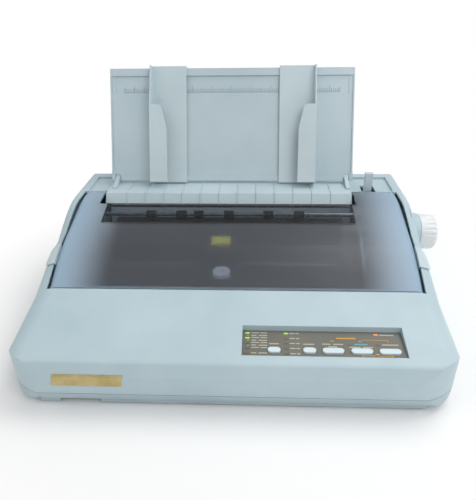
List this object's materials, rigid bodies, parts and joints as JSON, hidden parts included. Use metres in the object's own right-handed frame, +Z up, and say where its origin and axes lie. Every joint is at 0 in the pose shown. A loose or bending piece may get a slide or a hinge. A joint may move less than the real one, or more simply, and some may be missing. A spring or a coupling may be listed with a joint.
{
  "type": "dot matrix printer",
  "caption": "Desktop dot matrix printer with hinged smoked cover, tilting sheet guide with sliding edge guides, platen and knob, print head carriage, tractors and control panel",
  "frame": {"origin": "under the middle of the whole machine, at the level of the table its feet stand on", "axes": "+X to the operator's right along the platen, +Y to the back, +Z up"},
  "size_m": [0.4628, 0.3414, 0.268],
  "materials": {
    "casing_plastic": "fine textured, pale blue-grey",
    "light_plastic": "fine textured, pale blue-grey",
    "knob_plastic": "satin, white",
    "button_plastic": "satin, pale",
    "smoked_plastic": "smoked, frosted",
    "clear_plastic": "smoked, clear",
    "control_sheet": "fine textured, grey",
    "green_lens": "lit",
    "amber_lens": "lit",
    "dark_lens": "unlit",
    "gold_plate": "satin, pale gold",
    "foot_rubber": "matte",
    "roller_rubber": "ground",
    "steel_shaft": "ground",
    "zinc_sheet": "zinc plated",
    "motor_metal": "satin black",
    "gear_plastic": "moulded, off-white",
    "dark_plastic": "fine textured, black",
    "head_metal": "cast, dark",
    "yellow_plastic": "satin, yellow",
    "ink_fabric": "woven, inked",
    "board_green": "solder resist",
    "coil_tape": "taped",
    "connector_metal": "plated"
  },
  "bodies": {
    "casing": {"upper_case": "casing_plastic", "lower_case": "casing_plastic", "rubber_feet": "foot_rubber", "case_screws": "steel_shaft", "control_plate": "control_sheet", "leds_green": "green_lens", "led_amber": "amber_lens", "leds_unlit": "dark_lens", "panel_board": "board_green", "name_plate": "gold_plate", "rear_cover": "light_plastic", "chassis_base": "zinc_sheet", "side_plates": "zinc_sheet", "guide_shafts": "steel_shaft", "carriage_rail": "zinc_sheet", "pivot_pins": "steel_shaft", "main_board": "board_green", "transformer": "coil_tape", "platen_bushes": "gear_plastic", "feed_motor": "motor_metal", "paper_chute": "light_plastic", "ribbon_cartridge": "dark_plastic", "ink_ribbon": "ink_fabric", "carriage_motor": "motor_metal", "timing_belt": "roller_rubber", "power_inlet": "dark_plastic", "interface_connector": "connector_metal", "switch_frame": "dark_plastic"},
    "cover": {"cover_panel": "smoked_plastic", "cover_window": "clear_plastic", "cover_grips": "light_plastic"},
    "guide": {"sheet_guide": "light_plastic"},
    "left_edge": {"edge_guide_left": "light_plastic"},
    "right_edge": {"edge_guide_right": "light_plastic"},
    "platen": {"platen_roller": "roller_rubber", "platen_shaft": "steel_shaft", "platen_gear": "gear_plastic", "platen_knob": "knob_plastic"},
    "idler_gear": {"feed_idler": "gear_plastic"},
    "motor_pinion": {"feed_pinion": "gear_plastic"},
    "tractor_drive": {"tractor_shaft": "steel_shaft", "tractor_gear": "gear_plastic"},
    "bail": {"bail_shaft": "steel_shaft", "bail_rollers": "roller_rubber", "bail_arms": "zinc_sheet"},
    "lever": {"release_lever": "light_plastic"},
    "head_carriage": {"carriage": "dark_plastic", "print_head": "head_metal", "head_cap": "yellow_plastic"},
    "drive_pulley": {"motor_pulley": "gear_plastic"},
    "end_pulley": {"idler_pulley": "gear_plastic"},
    "left_tractor": {"tractor_left": "dark_plastic"},
    "right_tractor": {"tractor_right": "dark_plastic"},
    "ribbon_winder": {"ribbon_knob": "knob_plastic"},
    "rocker": {"power_switch": "dark_plastic"},
    "key_font": {"button_font": "button_plastic"},
    "key_pitch": {"button_pitch": "button_plastic"},
    "key_set": {"button_set": "button_plastic"},
    "key_feed": {"button_feed": "button_plastic"},
    "key_online": {"button_online": "button_plastic"}
  },
  "joints": [
    {"name": "cover_hinge", "type": "hinge", "parent": "casing", "child": "cover", "pos_m": [0, 0.08071, 0.1219], "axis": [-1, 0, 0], "range_deg": [0, 68]},
    {"name": "guide_hinge", "type": "hinge", "parent": "casing", "child": "guide", "pos_m": [0, 0.11051, 0.1312], "axis": [-1, 0, 0], "range_deg": [0, 62]},
    {"name": "left_edge_slide", "type": "slide", "parent": "guide", "child": "left_edge", "axis": [1, 0, 0], "range_m": [-0.038, 0.05]},
    {"name": "right_edge_slide", "type": "slide", "parent": "guide", "child": "right_edge", "axis": [1, 0, 0], "range_m": [-0.05, 0.032]},
    {"name": "platen_spin", "type": "hinge", "parent": "casing", "child": "platen", "pos_m": [0, 0.04681, 0.088], "axis": [1, 0, 0], "continuous": true},
    {"name": "idler_gear_spin", "type": "hinge", "parent": "casing", "child": "idler_gear", "pos_m": [0, 0.07505, 0.06257], "axis": [1, 0, 0], "continuous": true},
    {"name": "pinion_spin", "type": "hinge", "parent": "casing", "child": "motor_pinion", "pos_m": [0, 0.0914, 0.04785], "axis": [1, 0, 0], "continuous": true},
    {"name": "tractor_spin", "type": "hinge", "parent": "casing", "child": "tractor_drive", "pos_m": [0, 0.09513, 0.08487], "axis": [1, 0, 0], "continuous": true},
    {"name": "bail_swing", "type": "hinge", "parent": "casing", "child": "bail", "pos_m": [0, 0.06231, 0.076], "axis": [-1, 0, 0], "range_deg": [0, 18]},
    {"name": "lever_swing", "type": "hinge", "parent": "casing", "child": "lever", "pos_m": [0, 0.09431, 0.092], "axis": [-1, 0, 0], "range_deg": [0, 24]},
    {"name": "carriage_slide", "type": "slide", "parent": "casing", "child": "head_carriage", "axis": [1, 0, 0], "range_m": [-0.094, 0.108]},
    {"name": "drive_pulley_spin", "type": "hinge", "parent": "casing", "child": "drive_pulley", "pos_m": [-0.1559, -0.00569, 0.046], "axis": [0, 0, 1], "range_deg": [-900, 900]},
    {"name": "end_pulley_spin", "type": "hinge", "parent": "casing", "child": "end_pulley", "pos_m": [0.1141, -0.00569, 0.046], "axis": [0, 0, 1], "range_deg": [-900, 900]},
    {"name": "left_tractor_slide", "type": "slide", "parent": "casing", "child": "left_tractor", "axis": [1, 0, 0], "range_m": [-0.02, 0.06]},
    {"name": "right_tractor_slide", "type": "slide", "parent": "casing", "child": "right_tractor", "axis": [1, 0, 0], "range_m": [-0.06, 0.02]},
    {"name": "ribbon_winder_spin", "type": "hinge", "parent": "casing", "child": "ribbon_winder", "pos_m": [-0.0249, -0.04069, 0.076], "axis": [0, 0, 1], "continuous": true},
    {"name": "rocker_tilt", "type": "hinge", "parent": "casing", "child": "rocker", "pos_m": [0.0981, 0.16061, 0.042], "axis": [-1, 0, 0], "range_deg": [0, 14]},
    {"name": "font_press", "type": "slide", "parent": "casing", "child": "key_font", "axis": [0, 0, -1], "range_m": [0, 0.0014], "stiffness_N_per_m": 250, "springref_m": -0.001},
    {"name": "pitch_press", "type": "slide", "parent": "casing", "child": "key_pitch", "axis": [0, 0, -1], "range_m": [0, 0.0014], "stiffness_N_per_m": 250, "springref_m": -0.001},
    {"name": "set_press", "type": "slide", "parent": "casing", "child": "key_set", "axis": [0, 0, -1], "range_m": [0, 0.0014], "stiffness_N_per_m": 250, "springref_m": -0.001},
    {"name": "feed_press", "type": "slide", "parent": "casing", "child": "key_feed", "axis": [0, 0, -1], "range_m": [0, 0.0014], "stiffness_N_per_m": 250, "springref_m": -0.001},
    {"name": "online_press", "type": "slide", "parent": "casing", "child": "key_online", "axis": [0, 0, -1], "range_m": [0, 0.0014], "stiffness_N_per_m": 250, "springref_m": -0.001}
  ],
  "couplings": [
    {"joint": "idler_gear_spin", "follows": "platen_spin", "ratio": -1.7143},
    {"joint": "pinion_spin", "follows": "platen_spin", "ratio": 3},
    {"joint": "tractor_spin", "follows": "platen_spin", "ratio": 1.5},
    {"joint": "drive_pulley_spin", "follows": "carriage_slide", "rad_per_m": 131.58},
    {"joint": "end_pulley_spin", "follows": "carriage_slide", "rad_per_m": 131.58}
  ]
}
